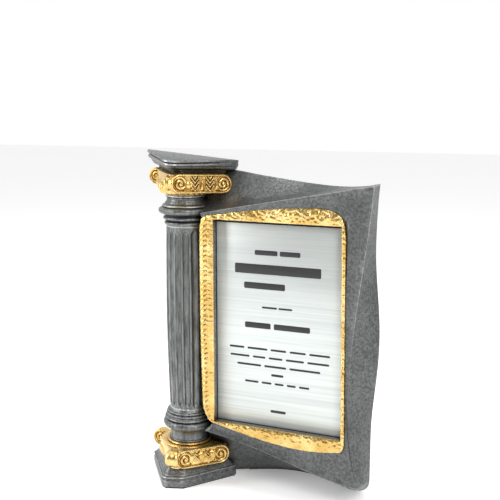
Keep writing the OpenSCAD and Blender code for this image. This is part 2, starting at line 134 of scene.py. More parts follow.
class Shell:
    """Collects closed shells of rings, in millimetres about the column's axis."""

    def __init__(self):
        self.points = []
        self.faces = []

    def loft(self, rings, start=None, end=None):
        """Joins rings of equal length. Each end is closed by a fan to a point, or by one face."""
        base = len(self.points)
        n = len(rings[0])
        for ring in rings:
            self.points += ring
        for k in range(len(rings) - 1):
            for i in range(n):
                j = (i + 1) % n
                a, b = base + k * n, base + (k + 1) * n
                self.faces.append((a + i, a + j, b + j, b + i))
        for ring_start, tip, flip in ((base, start, True), (base + (len(rings) - 1) * n, end, False)):
            loop = [ring_start + i for i in range(n)]
            if flip:
                loop.reverse()
            if tip is None:
                self.faces.append(tuple(loop))
            else:
                self.points.append(tip)
                top = len(self.points) - 1
                self.faces += [(loop[i], loop[(i + 1) % n], top) for i in range(n)]

    def patch(self, us, vs, point, depth_point):
        """A slab with a shaped front: point(u, v) in front and depth_point(u, v) behind."""
        nu, nv = len(us), len(vs)
        base = len(self.points)
        self.points += [point(u, v) for v in vs for u in us]
        back = len(self.points)
        self.points += [depth_point(u, v) for v in vs for u in us]
        for j in range(nv - 1):
            for i in range(nu - 1):
                a = base + j * nu + i
                self.faces.append((a, a + 1, a + nu + 1, a + nu))
                b = back + j * nu + i
                self.faces.append((b, b + nu, b + nu + 1, b + 1))
        edge = ([(i, 0) for i in range(nu)] + [(nu - 1, j) for j in range(1, nv)]
                + [(i, nv - 1) for i in range(nu - 2, -1, -1)] + [(0, j) for j in range(nv - 2, 0, -1)])
        for (i0, j0), (i1, j1) in zip(edge, edge[1:] + edge[:1]):
            f0, f1 = j0 * nu + i0, j1 * nu + i1
            self.faces.append((base + f1, base + f0, back + f0, back + f1))

    def loop(self, rings):
        """Joins rings of equal length in a closed loop, like a picture frame."""
        base = len(self.points)
        n = len(rings[0])
        for ring in rings:
            self.points += ring
        for k in range(len(rings)):
            a, b = base + k * n, base + (k + 1) % len(rings) * n
            for i in range(n):
                j = (i + 1) % n
                self.faces.append((a + i, a + j, b + j, b + i))

    def build(self, name, node, material, crease, shape=None):
        """Makes the piece that takes the place of a CAD node, bent by `shape` if it is given."""
        points = [shape(p) for p in self.points] if shape else self.points
        mesh = bpy.data.meshes.new(name)
        mesh.from_pydata([place(p) for p in points], [], self.faces)
        mesh.validate()
        solid = bmesh.new()
        solid.from_mesh(mesh)
        bmesh.ops.recalc_face_normals(solid, faces=solid.faces)
        solid.to_mesh(mesh)
        solid.free()
        piece = bpy.data.objects.new(name, mesh)
        bpy.context.collection.objects.link(piece)
        mesh.materials.append(material)
        mesh.shade_smooth()
        mesh.set_sharp_from_angle(angle=math.radians(crease))
        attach(piece, "root")
        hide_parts(node)
        return piece


# ------------------------ materials

class Nodes:
    """A short way to write a shader tree."""

    def __init__(self, name):
        self.material = bpy.data.materials.new(name)
        self.material.use_nodes = True
        self.tree = self.material.node_tree
        self.shader = self.tree.nodes["Principled BSDF"]
        self.coords = self.add("ShaderNodeTexCoord").outputs["Object"]

    def add(self, kind, **values):
        node = self.tree.nodes.new(kind)
        for key, value in values.items():
            setattr(node, key, value)
        return node

    def link(self, source, target):
        self.tree.links.new(source, target)

    def put(self, socket, value):
        if hasattr(value, "is_linked"):
            self.link(value, socket)
        else:
            socket.default_value = value

    def stretched(self, scale):
        node = self.add("ShaderNodeMapping")
        self.link(self.coords, node.inputs["Vector"])
        node.inputs["Scale"].default_value = scale
        return node.outputs["Vector"]

    def noise(self, scale, detail, roughness, vector=None, distortion=0.0):
        node = self.add("ShaderNodeTexNoise")
        self.link(vector or self.coords, node.inputs["Vector"])
        node.inputs["Scale"].default_value = scale
        node.inputs["Detail"].default_value = detail
        node.inputs["Roughness"].default_value = roughness
        node.inputs["Distortion"].default_value = distortion
        return node.outputs["Fac"]

    def cells(self, scale):
        node = self.add("ShaderNodeTexVoronoi")
        self.link(self.coords, node.inputs["Vector"])
        node.inputs["Scale"].default_value = scale
        return node.outputs["Distance"]

    def ramp(self, value, low, high, out_low=0.0, out_high=1.0):
        node = self.add("ShaderNodeMapRange")
        node.interpolation_type = "SMOOTHSTEP"
        self.put(node.inputs["Value"], value)
        node.inputs["From Min"].default_value = low
        node.inputs["From Max"].default_value = high
        node.inputs["To Min"].default_value = out_low
        node.inputs["To Max"].default_value = out_high
        return node.outputs["Result"]

    def math(self, operation, a, b=0.0):
        node = self.add("ShaderNodeMath", operation=operation)
        self.put(node.inputs[0], a)
        self.put(node.inputs[1], b)
        return node.outputs[0]

    def blend(self, factor, a, b):
        node = self.add("ShaderNodeMix", data_type="RGBA")
        self.put(node.inputs["Factor"], factor)
        self.put(node.inputs["A"], a)
        self.put(node.inputs["B"], b)
        return node.outputs["Result"]

    # Ambient occlusion: dark where nearby surfaces close a hollow in, so colour mixed by it is painted
    # shade.
    def cavity(self, distance):
        node = self.add("ShaderNodeAmbientOcclusion", samples=8)
        node.inputs["Distance"].default_value = distance
        return node.outputs["AO"]

    # Pointiness: high on sharp outer edges, which the finishes lighten, partly as wear and partly as a
    # painted highlight.
    def edges(self):
        return self.add("ShaderNodeNewGeometry").outputs["Pointiness"]

    def bumps(self, layers):
        """Chains bump layers of (height, depth in metres)."""
        normal = None
        for height, depth in layers:
            node = self.add("ShaderNodeBump")
            node.inputs["Distance"].default_value = depth
            node.inputs["Strength"].default_value = 1.0
            self.put(node.inputs["Height"], height)
            if normal:
                self.link(normal, node.inputs["Normal"])
            normal = node.outputs["Normal"]
        self.link(normal, self.shader.inputs["Normal"])

    def finish(self, color, roughness, metallic):
        self.put(self.shader.inputs["Base Color"], color)
        self.put(self.shader.inputs["Roughness"], roughness)
        self.put(self.shader.inputs["Metallic"], metallic)
        return self.material


def rgb(r, g, b):
    return (r, g, b, 1.0)


def lit(color, light):
    """A colour made lighter or darker; the silver copies use it to paint shade on the panel and the
    blocks.
    """
    return rgb(*(c * light for c in color[:3]))


PEWTER_LOW = rgb(0.095, 0.099, 0.099)
PEWTER_HIGH = rgb(0.200, 0.207, 0.205)
PEWTER_PIT = rgb(0.020, 0.022, 0.026)
# Near black for the painted shade in the hollows.
PEWTER_PAINTED_SHADE = rgb(0.020, 0.022, 0.022)
GOLD_BRIGHT = rgb(0.80, 0.575, 0.23)
GOLD_DEEP = rgb(0.62, 0.40, 0.12)
# Dark brown for the hollows: brown toning and painted shade.
GOLD_TONING_AND_SHADE = rgb(0.24, 0.11, 0.018)
# Pale yellow for lightened edges: partly wear, partly a painted highlight.
GOLD_RUBBED_AND_HIGHLIGHT = rgb(1.0, 0.80, 0.42)
# How far away a surface may be and still darken a hollow with painted shade, in metres; on the gold the
# darkening is brown toning as well.
SILVER_SHADE_REACH = 0.006
GOLD_TONING_AND_SHADE_REACH = 0.0028


def antique_silver(name, light, pits, streaks=False, worn=0.62):
    """Pewter paint over cast resin: mottled and pitted, with painted shade in the hollows and worn
    edges lightened partly as a painted highlight. `light` scales the whole colour, which paints shade
    on the darker copies.
    """
    n = Nodes(name)
    cloud = n.noise(45, 4, 0.55)
    vector = n.stretched((1.0, 1.0, 0.16)) if streaks else None
    grain = n.noise(620, 5, 0.65, vector, 0.4)
    speck = n.noise(1250, 3, 0.6)
    tone = n.math("ADD", n.math("MULTIPLY", cloud, 0.25), n.math("MULTIPLY", grain, 0.75))
    base = n.blend(n.ramp(tone, 0.36, 0.62), lit(PEWTER_LOW, light), lit(PEWTER_HIGH, light))
    dots = n.ramp(speck, 0.56, 0.68)
    dots = n.math("MULTIPLY", dots, n.ramp(cloud, 0.35, 0.65, 0.25, 1.0))
    base = n.blend(n.math("MULTIPLY", dots, pits), base, PEWTER_PIT)
    # Painted shade: where ambient occlusion finds a hollow, the colour goes towards near black.
    base = n.blend(n.ramp(n.cavity(SILVER_SHADE_REACH), 0.12, 0.85), PEWTER_PAINTED_SHADE, base)
    # Sharp edges go towards the worn grey: partly wear, partly a painted highlight.
    rubbed_and_highlight = n.math("MULTIPLY", n.ramp(n.edges(), 0.515, 0.58), n.ramp(grain, 0.3, 0.6, 0.35, 1.0))
    base = n.blend(rubbed_and_highlight, base, rgb(worn, worn, worn))
    rough = n.ramp(tone, 0.3, 0.7, 0.46, 0.30)
    n.bumps([(grain, 0.00025), (speck, 0.00012)])
    return n.finish(base, rough, 0.85)


def antique_gold(name, foil=0.0):
    """Gold paint, with brown toning and painted shade in the hollows, and edges lightened partly by
    wear and partly as a painted highlight. `foil` is the depth of its hammered wrinkles in metres.
    """
    n = Nodes(name)
    cloud = n.noise(90, 3, 0.5)
    grain = n.noise(900, 4, 0.6)
    base = n.blend(n.ramp(cloud, 0.35, 0.65), GOLD_DEEP, GOLD_BRIGHT)
    # Brown toning and painted shade: where ambient occlusion finds a hollow, the colour goes towards
    # dark brown.
    base = n.blend(n.ramp(n.cavity(GOLD_TONING_AND_SHADE_REACH), 0.25, 0.85), GOLD_TONING_AND_SHADE, base)
    # Sharp edges go half way to pale yellow: partly wear, partly a painted highlight.
    rubbed_and_highlight = n.ramp(n.edges(), 0.52, 0.60)
    base = n.blend(n.math("MULTIPLY", rubbed_and_highlight, 0.5), base, GOLD_RUBBED_AND_HIGHLIGHT)
    rough = n.ramp(grain, 0.3, 0.7, 0.22, 0.34)
    layers = [(grain, 0.00012)]
    if foil:
        wrinkle = n.noise(300, 1.5, 0.5, n.stretched((0.6, 1.0, 1.0)), 0.8)
        layers.insert(0, (wrinkle, foil))
    n.bumps(layers)
    return n.finish(base, rough, 0.92)


def brushed_plate(name):
    """Pale metal brushed from side to side."""
    n = Nodes(name)
    fine = n.noise(900, 4, 0.6, n.stretched((0.012, 1.0, 1.0)))
    band = n.noise(160, 2, 0.5, n.stretched((0.03, 1.0, 1.0)))
    tone = n.math("ADD", n.math("MULTIPLY", fine, 0.6), n.math("MULTIPLY", band, 0.4))
    base = n.blend(n.ramp(tone, 0.35, 0.65), rgb(0.53, 0.565, 0.555), rgb(0.64, 0.675, 0.66))
    n.bumps([(fine, 0.00003)])
    n.shader.inputs["Anisotropic"].default_value = 0.5
    return n.finish(base, n.ramp(tone, 0.3, 0.7, 0.42, 0.34), 0.55)


def print_ink(name):
    """Flat black ink."""
    n = Nodes(name)
    speck = n.noise(1800, 2, 0.5)
    base = n.blend(speck, rgb(0.012, 0.012, 0.014), rgb(0.028, 0.028, 0.03))
    n.bumps([(speck, 0.00001)])
    return n.finish(base, n.ramp(speck, 0.3, 0.7, 0.45, 0.6), 0.0)


def zinc_steel(name, thread=False):
    """Zinc-plated steel, with rings for a screw thread where it is asked for."""
    n = Nodes(name)
    grain = n.noise(700, 4, 0.6)
    base = n.blend(grain, rgb(0.42, 0.43, 0.45), rgb(0.62, 0.63, 0.64))
    layers = [(grain, 0.00003)]
    if thread:
        wave = n.add("ShaderNodeTexWave", bands_direction="Z")
        n.link(n.coords, wave.inputs["Vector"])
        wave.inputs["Scale"].default_value = 390
        layers.insert(0, (wave.outputs["Fac"], 0.0003))
    n.bumps(layers)
    return n.finish(base, n.ramp(grain, 0.3, 0.7, 0.25, 0.42), 1.0)


def turned_brass(name):
    """Brass with fine turning marks."""
    n = Nodes(name)
    rings = n.noise(600, 3, 0.5, n.stretched((0.1, 0.1, 4.0)))
    base = n.blend(rings, rgb(0.60, 0.42, 0.14), rgb(0.78, 0.58, 0.24))
    n.bumps([(rings, 0.00004)])
    return n.finish(base, n.ramp(rings, 0.3, 0.7, 0.22, 0.36), 1.0)


def foam_tape(name):
    """White adhesive foam."""
    n = Nodes(name)
    pores = n.cells(1400)
    base = n.blend(pores, rgb(0.70, 0.70, 0.67), rgb(0.84, 0.84, 0.81))
    n.bumps([(pores, 0.00008)])
    return n.finish(base, 0.85, 0.0)


def black_felt(name):
    """Black felt with fine fibres."""
    n = Nodes(name)
    fibre = n.noise(2200, 5, 0.7, None, 1.5)
    base = n.blend(fibre, rgb(0.012, 0.012, 0.013), rgb(0.05, 0.05, 0.052))
    n.bumps([(fibre, 0.00025)])
    n.shader.inputs["Sheen Weight"].default_value = 0.3
    return n.finish(base, 0.95, 0.0)


# One pewter paint in three copies: against the column's 1.0, the panel's is darkened to 0.80 with a
# darker edge grey of 0.36, and the blocks' to 0.95, as painted shade.
SILVER = antique_silver("silver_panel", 0.80, 0.75, worn=0.36)
SILVER_COLUMN = antique_silver("silver_column", 1.0, 0.45, streaks=True)
SILVER_BLOCK = antique_silver("silver_block", 0.95, 0.4)
GOLD = antique_gold("gold_relief")
GOLD_FOIL = antique_gold("gold_hammered", 0.00035)

# ------------------------ the panel's outlines

# The panel's right corner, the ridge's lower right end and the ridge's two left ends.
CORNER = (123.0, 198.0)
RIDGE_FOOT = (118.0, 17.0)
RIDGE_LEFT = 16.2
RIDGE_TOP_Z = 177.7
RIDGE_BOTTOM_Z = 38.6
RIDGE_Y = -14.0
# The ridge's left edge: how far it tucks back and right, and round the lower collar's ring.
SIDE_TUCK = 2.6
SIDE_STEP = 1.6
RING_Z = 43.0
RING_HALF_H = 8.0
RING_STEP = 4.6
# The panel's left end, inside the column.
PANEL_LEFT = 3.0
PANEL_TOP_Z = 205.0
REAR_LEFT_Y = 5.0
# How far the panel's back lies in front of the column's flat back, beside the column.
BACK_STEP = 0.25
# How far the web stands back to clear the capital.
WEB_TUCK = 3.8
# The right edge: its place, its lower end, how far in the back starts, and its bulge.
EDGE_X = 121.4
EDGE_Z = 18.0
BACK_INSET = 4.0
BULGE = 3.7
BULGE_Z = 105.0
BULGE_HALF_H = 60.0
# The foot, which sweeps back farthest half-way along.
FOOT_END_X = 104.0
FOOT_LEFT = 10.0
FOOT_RIGHT = 123.0
FOOT_SWEEP = 20.0
FOOT_BAND = 8.0
FLARE_H = 75.0
# Depths half-way up the recess's wall, at its rim, and of the dished face further out.
WALL_Y = -9.5
RIM_Y = -11.0
FACE_Y = -12.4
MIDDLE = (66.0, 108.0)
# Points along each side of the panel's rings, and rows of rings over each surface.
SIDE_STEPS = (110, 150, 110, 110)
FACE_ROWS = 24
WEB_ROWS = 26
EDGE_ROWS = 6
BACK_ROWS = 26
# The rounded crest's rows, as shares of the web, and how far the cove's depth runs ahead.
CREST = (0.012, 0.03, 0.06)
COVE_LEAD = 0.52
COVE_TURN = 0.30


def bulge(z):
    """How far the right edge swells at a height."""
    off = (z - BULGE_Z) / BULGE_HALF_H
    return BULGE * math.cos(off * math.pi / 2) ** 2 if abs(off) < 1 else 0.0


def foot_y(x):
    """Depth of the foot's front edge."""
    turn = clamp((x - FOOT_LEFT) / (FOOT_RIGHT - FOOT_LEFT)) * math.pi
    return COLUMN_BACK + 1 + FOOT_SWEEP * max(0.0, math.sin(turn)) ** 1.5


def back_y(x, z):
    """Depth of the panel's back: flat above, flared into the foot below."""
    flat = COLUMN_BACK - BACK_STEP * smooth(36.0, 32.0, x)
    if z >= FLARE_H:
        return flat
    lift = 1 - (z - FLOOR_GAP) / (FLARE_H - FLOOR_GAP)
    return flat + (foot_y(x) + FOOT_BAND - COLUMN_BACK) * lift ** 2


def ridge(side, t):
    """The front ridge: its top, right, bottom and left sides are numbered 0 to 3."""
    ends = ((RIDGE_LEFT, RIDGE_TOP_Z), CORNER, RIDGE_FOOT, (RIDGE_LEFT, RIDGE_BOTTOM_Z))
    pulls = (((50.0, 184.4), (90.0, 191.6)), ((119.0, 140.0), (100.0, 70.0)),
             ((90.0, 18.5), (60.0, 34.0)), ((RIDGE_LEFT, 80.0), (RIDGE_LEFT, 130.0)))
    x, z = cubic(ends[side], *pulls[side], ends[(side + 1) % 4], t)
    y = RIDGE_Y
    if side == 3:
        # The left edge tucks in behind the bezel and steps round the lower collar's ring.
        y += SIDE_TUCK * smooth(0.0, 0.06, t) * smooth(1.0, 0.94, t)
        x += SIDE_STEP * smooth(0.0, 0.02, t) * smooth(1.0, 0.96, t)
        x += RING_STEP * bump(z - RING_Z, RING_HALF_H)
    return (x, y, z)


def rear(side, t):
    """The rear edge, with its sides numbered like the ridge's."""
    if side == 0:
        x, z = cubic((PANEL_LEFT, PANEL_TOP_Z), (60.0, 201.5), (95.0, 191.0), CORNER, t)
        return (x, REAR_LEFT_Y * (1 - t) + WEB_TUCK * smooth(50.0, 32.0, x), z)
    if side == 1:
        z = mix(CORNER[1], EDGE_Z, t)
        return (EDGE_X + bulge(z) + (CORNER[0] - EDGE_X) * (1 - t) ** 12, 0.0, z)
    if side == 2 and t < 0.25:
        return cubic((EDGE_X, 0.0, EDGE_Z), (121.0, 2.0, 8.0), (112.0, 10.0, 4.0),
                     (FOOT_END_X, foot_y(FOOT_END_X), FLOOR_GAP), 4 * t)
    if side == 2:
        x = mix(FOOT_END_X, PANEL_LEFT, (4 * t - 1) / 3)
        return (x, foot_y(x), FLOOR_GAP)
    y = foot_y(PANEL_LEFT) * (1 - t) ** 8 + REAR_LEFT_Y * t
    return (PANEL_LEFT, y, mix(FLOOR_GAP, PANEL_TOP_Z, t))


def back(p):
    """The point on the back that belongs to a point of the rear edge."""
    x = min(p[0], EDGE_X + bulge(p[2]) - BACK_INSET)
    z = max(FLOOR_GAP, p[2] - 1.5 * smooth(CORNER[1] - 20, CORNER[1], p[2]))
    return (x, back_y(x, z), z)


def cove(side, t):
    """How deep the web is coved: most beside the column, not at all on the right."""
    return (1 - t, 0.0, t, 1.0)[side]


def recess_corner(side, t):
    return lerp(RECESS[side], RECESS[(side + 1) % 4], t)


STATIONS = [(side, i / steps) for side, steps in enumerate(SIDE_STEPS) for i in range(steps)]


def sail_panel():
    """The swept panel: dished face and recess, ridge, coved web, rounded rear edge and back."""
    front_ring = [ridge(*s) for s in STATIONS]
    rear_ring = [rear(*s) for s in STATIONS]
    back_ring = [back(p) for p in rear_ring]
    coves = [cove(*s) for s in STATIONS]
    recess = [recess_corner(*s) for s in STATIONS]
    rings = []
    # Recess floor and wall, from the floor outwards.
    rings.append([(mix(MIDDLE[0], r[0], 0.9), RECESS_FLOOR, mix(MIDDLE[1], r[1], 0.9)) for r in recess])
    rings.append([(r[0], RECESS_FLOOR, r[1]) for r in recess])
    for y in (PLATE_FACE, WALL_Y, RIM_Y):
        rings.append([(r[0], y, r[1]) for r in recess])
    # Dished face, from the recess out to the ridge.
    for k in range(FACE_ROWS + 1):
        t = k / FACE_ROWS
        ring = []
        for (side, _), r, p in zip(STATIONS, recess, front_ring):
            depth = mix(RIM_Y, FACE_Y, smooth(0.0, 0.25, t)) + (p[1] - FACE_Y) * t ** 3
            if side == 3:
                depth = mix(RIM_Y, p[1], t)
            ring.append((mix(r[0], p[0], t), depth, mix(r[1], p[2], t)))
        rings.append(ring)
    # The ridge's rounded crest, then the web.
    shares = list(CREST) + [mix(CREST[-1], 1.0, k / WEB_ROWS) for k in range(1, WEB_ROWS + 1)]
    for share in shares:
        turn = 1 - (1 - min(1.0, share / COVE_TURN)) ** 2
        ring = []
        for p, q, w in zip(front_ring, rear_ring, coves):
            run = min(1.0, share + w * COVE_LEAD * turn * (1 - share))
            ring.append((mix(p[0], q[0], share), mix(p[1], q[1], run), mix(p[2], q[2], share)))
        rings.append(ring)
    # Rounded rear edge and the back, shrinking to its middle.
    for k in range(1, EDGE_ROWS + 1):
        rings.append([lerp(p, q, k / EDGE_ROWS) for p, q in zip(rear_ring, back_ring)])
    for k in range(1, BACK_ROWS):
        share = 1 - k / BACK_ROWS
        ring = []
        for p in back_ring:
            x, z = mix(MIDDLE[0], p[0], share), mix(MIDDLE[1], p[2], share)
            ring.append((x, back_y(x, z), z))
        rings.append(ring)
    shell = Shell()
    shell.loft(rings, (MIDDLE[0], RECESS_FLOOR, MIDDLE[1]),
               (MIDDLE[0], back_y(*MIDDLE), MIDDLE[1]))
    return shell.build("panel_casting", "sail_panel", SILVER, 40)


# ------------------------ the bezel

# Each side's curves: the share of the side where it starts, and its four points.
BEZEL_CURVES = (
    [(0.0, (15.8, 173.2), (17.0, 175.8), (19.5, 176.3), (22.0, 176.6)),
     (0.12, (22.0, 176.6), (45.0, 180.5), (70.0, 183.6), (90.0, 183.6)),
     (0.86, (90.0, 183.6), (96.0, 183.6), (101.5, 182.6), (104.4, 178.6))],
    [(0.0, (104.4, 178.6), (106.2, 175.8), (106.8, 171.0), (107.0, 166.0)),
     (0.08, (107.0, 166.0), (107.2, 125.0), (108.0, 80.0), (108.4, 43.0)),
     (0.97, (108.4, 43.0), (108.3, 41.2), (107.5, 39.4), (106.2, 38.5))],
    [(0.0, (106.2, 38.5), (105.4, 38.0), (104.5, 37.8), (103.5, 37.8)),
     (0.05, (103.5, 37.8), (78.0, 32.5), (50.0, 38.5), (22.0, 44.6)),
     (0.95, (22.0, 44.6), (21.2, 44.9), (20.4, 45.6), (19.5, 46.8))],
    [(0.0, (19.5, 46.8), (18.0, 48.8), (16.6, 51.2), (15.9, 54.0)),
     (0.05, (15.9, 54.0), (14.4, 90.0), (14.2, 130.0), (14.6, 168.0)),
     (0.95, (14.6, 168.0), (14.7, 170.0), (15.1, 171.8), (15.8, 173.2))])
BEZEL_STEPS = (300, 420, 300, 420)
BEZEL_ROWS = 16
BEZEL_CROWN = 0.95
ROPE_PITCH = 3.1


def bezel_outline(side, t):
    """The bezel's outer edge, side by side, with its round corners shared between sides."""
    curves = BEZEL_CURVES[side]
    for (start, *points), (end, *_) in zip(curves, curves[1:] + [(1.0,)]):
        if t < end or end == 1.0:
            return cubic(*points, (t - start) / (end - start))


def hammered(x, z, band):
    """Height of the hammered relief in millimetres: wrinkled foil, finer on narrow bands."""
    folds = 1 - abs(wobble((x * 0.55, 0.0, z), 2.4, 3.1)) * 3
    dimples = wobble((x, 0.0, z), 1.7, 7.7)
    return clamp(band / 7.0, 0.35, 1.0) * (0.26 * folds + 0.36 * dimples)


def gold_bezel():
    """The hammered frame, with a twisted edge along its left side."""
    outer = []
    inner = []
    for side, steps in enumerate(BEZEL_STEPS):
        for i in range(steps):
            t = i / steps
            outer.append((bezel_outline(side, t), side))
            inner.append(recess_corner(side, t))
    rings = []
    lip = BEZEL_FACE + 0.25
    rings.append([(r[0], BEZEL_SEAT, r[1]) for r in inner])
    rings.append([(r[0], lip + 0.35, r[1]) for r in inner])
    for k in range(BEZEL_ROWS + 1):
        t = k / BEZEL_ROWS
        ring = []
        for (o, side), r in zip(outer, inner):
            x, z = mix(r[0], o[0], t), mix(r[1], o[1], t)
            band = math.hypot(o[0] - r[0], o[1] - r[1])
            crown = BEZEL_CROWN * bump(t - 0.5, 0.56)
            relief = hammered(x, z, band) * smooth(0.0, 0.10, t) * smooth(1.0, 0.90, t)
            if side == 3:
                # A plain inner strip, a groove, and a twisted outer strip.
                twist = abs(math.sin(math.pi * (z / ROPE_PITCH + 1.6 * t)))
                rope = bump(t - 0.74, 0.26) * (0.55 + 0.75 * twist ** 0.7)
                plain = 0.45 * bump(t - 0.24, 0.24)
                crown = rope + plain
                relief *= 0.35
            ring.append((x, lip - crown - relief, z))
        rings.append(ring)
    rings.append([(o[0], BEZEL_SEAT - 0.6, o[1]) for o, side in outer])
    rings.append([(o[0], BEZEL_SEAT, o[1]) for o, side in outer])
    shell = Shell()
    shell.loop(rings)
    return shell.build("bezel_casting", "gold_bezel", GOLD_FOIL, 50)


# ------------------------ turned column pieces

TURN_STEPS = 384
FLUTES = 16
FLUTE_DEPTH = 1.55
FLUTE_HALF = 0.40
# Height over which a flute's round end opens.
FLUTE_END = 2.6
SHAFT_FOOT_R = 12.4
SHAFT_TOP_R = 12.9
SHAFT_SWELL = 1.05
SHAFT_ROWS = 150
END_ROWS = 8
END_ROW_H = 0.35


def turned(shell, profile, radius_at=None):
    """Turns a profile of (radius, height) about the axis, with the back cut flat."""
    rings = []
    for radius, z in profile:
        ring = []
        for i in range(TURN_STEPS):
            angle = -2 * math.pi * i / TURN_STEPS
            r = radius_at(radius, angle, z) if radius_at else radius
            ring.append((r * math.cos(angle), min(r * math.sin(angle), COLUMN_BACK), z))
        rings.append(ring)
    shell.loft(rings, (0, 0, profile[0][1]), (0, 0, profile[-1][1]))


def rounded(z, reach, half, steps=12):
    """Profile points up a round bead."""
    return [(reach - half + half * math.cos(a), z + half * math.sin(a))
            for a in (-math.pi / 2 + math.pi * i / steps for i in range(steps + 1))]


def base_collar():
    """A neck, a big torus and small rings, from the lower gold block up to the shaft."""
    z0 = BASE_BLOCK_TOP
    profile = [(11.8, z0)] + rounded(z0 + 0.9, 13.2, 0.8) + [(12.6, z0 + 1.8), (12.3, z0 + 3.5),
               (12.3, z0 + 5.6), (12.8, z0 + 7.4), (13.4, z0 + 8.3)]
    profile += rounded(38.4, 17.0, 2.7, 18)
    profile += [(14.9, 41.3)] + rounded(42.3, 15.9, 0.75, 8) + [(15.0, 43.2), (14.6, 43.7)]
    profile += rounded(44.7, 15.0, 0.7, 8) + [(14.0, 45.6)]
    profile += rounded(46.5, 14.3, 0.65, 8) + [(13.2, 47.3), (12.8, 48.2), (12.5, SHAFT_FOOT)]
    shell = Shell()
    turned(shell, profile)
    return shell.build("base_collar_casting", "base_collar", SILVER_COLUMN, 50)


def fluted_shaft():
    """The shaft: it swells half-way up, and its flutes have round ends."""
    height = SHAFT_TOP - SHAFT_FOOT
    end_low, end_high = SHAFT_FOOT + 2.0, SHAFT_TOP - FLUTE_END

    def shaft_radius(z):
        t = (z - SHAFT_FOOT) / height
        return mix(SHAFT_FOOT_R, SHAFT_TOP_R, t) + SHAFT_SWELL * math.sin(math.pi * clamp(t)) ** 0.9

    def fluted(radius, angle, z):
        phase = angle / (2 * math.pi) * FLUTES + 0.5
        off = phase - math.floor(phase) - 0.5
        run = clamp(min(z - end_low, end_high - z) / FLUTE_END)
        half = FLUTE_HALF * math.sqrt(1 - (1 - run) ** 2)
        depth = FLUTE_DEPTH * bump(off, max(half, 1e-4)) * math.sqrt(run)
        worn = 0.10 * wobble((radius * math.cos(angle), radius * math.sin(angle), z * 0.4), 3.0, 1.3)
        return radius - depth + worn

    levels = [SHAFT_FOOT + height * i / SHAFT_ROWS for i in range(SHAFT_ROWS + 1)]
    # Closer rows where the flutes end.
    levels += [end_low + END_ROW_H * k for k in range(1, END_ROWS + 1)]
    levels += [end_high - END_ROW_H * k for k in range(1, END_ROWS + 1)]
    shell = Shell()
    turned(shell, [(shaft_radius(z), z) for z in sorted(levels)], fluted)
    return shell.build("shaft_casting", "fluted_shaft", SILVER_COLUMN, 45)


def neck_collar():
    """Rings above the shaft, and the neck under the capital."""
    z0 = SHAFT_TOP
    profile = [(12.9, z0)] + rounded(z0 + 1.8, 14.1, 0.85) + [(12.9, z0 + 3.0)]
    profile += rounded(z0 + 4.9, 14.9, 1.0) + [(13.6, z0 + 6.4), (14.2, z0 + 7.0)]
    profile += rounded(z0 + 9.7, 17.7, 2.1, 16)[:12]
    profile += [(16.6, z0 + 11.4), (15.7, z0 + 11.7), (15.2, z0 + 11.9), (15.6, z0 + 12.3),
                (15.4, z0 + 13.0), (14.7, z0 + 13.5), (13.9, z0 + 13.8), (13.6, z0 + 14.1),
                (13.5, z0 + 14.6), (12.9, z0 + 15.3), (12.5, z0 + 16.2), (12.4, z0 + 17.0),
                (12.7, z0 + 17.8), (12.4, z0 + 18.0), (13.1, z0 + 18.2), (13.3, z0 + 18.6),
                (13.2, NECK_TOP)]
    shell = Shell()
    turned(shell, profile)
    return shell.build("neck_collar_casting", "neck_collar", SILVER_COLUMN, 50)


# ------------------------ square blocks

# Rounding of the corners at the flat back, and the most of a side that a rounding takes.
BACK_RADIUS = 0.3
ROUNDING_SHARE = 0.45
ARC_STEPS = 5
SIDE_PARTS = 9


def plan(half_w, front, cut_half, slant, radius):
    """Ring of a block with slanted sides, a cut front corner and rounded corners."""
    side_y = min(COLUMN_BACK - 0.6, (half_w - cut_half) * math.tan(math.radians(slant)) - front)
    return rounded_ring([(-half_w, COLUMN_BACK), (half_w, COLUMN_BACK), (half_w, side_y),
                         (cut_half, -front), (-cut_half, -front), (-half_w, side_y)], radius)


def rounded_ring(corners, radius):
    """A ring round some corners. Those at the flat back are nearly sharp."""
    def rounding(corner, *lengths):
        r = BACK_RADIUS if corner[1] >= COLUMN_BACK else radius
        return min([r] + [length * ROUNDING_SHARE for length in lengths])

    ring = []
    n = len(corners)
    for i, corner in enumerate(corners):
        c, after = Vector(corner), Vector(corners[(i + 1) % n])
        a, b = Vector(corners[i - 1]) - c, after - c
        reach = rounding(c, a.length, b.length)
        p, q = c + a.normalized() * reach, c + b.normalized() * reach
        for k in range(ARC_STEPS + 1):
            t = k / ARC_STEPS
            ring.append(tuple((p * (1 - t) + c * t) * (1 - t) + (c * (1 - t) + q * t) * t))
        side_end = after - b.normalized() * rounding(after, b.length)
        for k in range(1, SIDE_PARTS):
            ring.append(tuple(q.lerp(side_end, k / SIDE_PARTS)))
    return ring


PLINTH_HALF_W = 30.0
PLINTH_FRONT = 26.0
PLINTH_RADIUS = 2.0


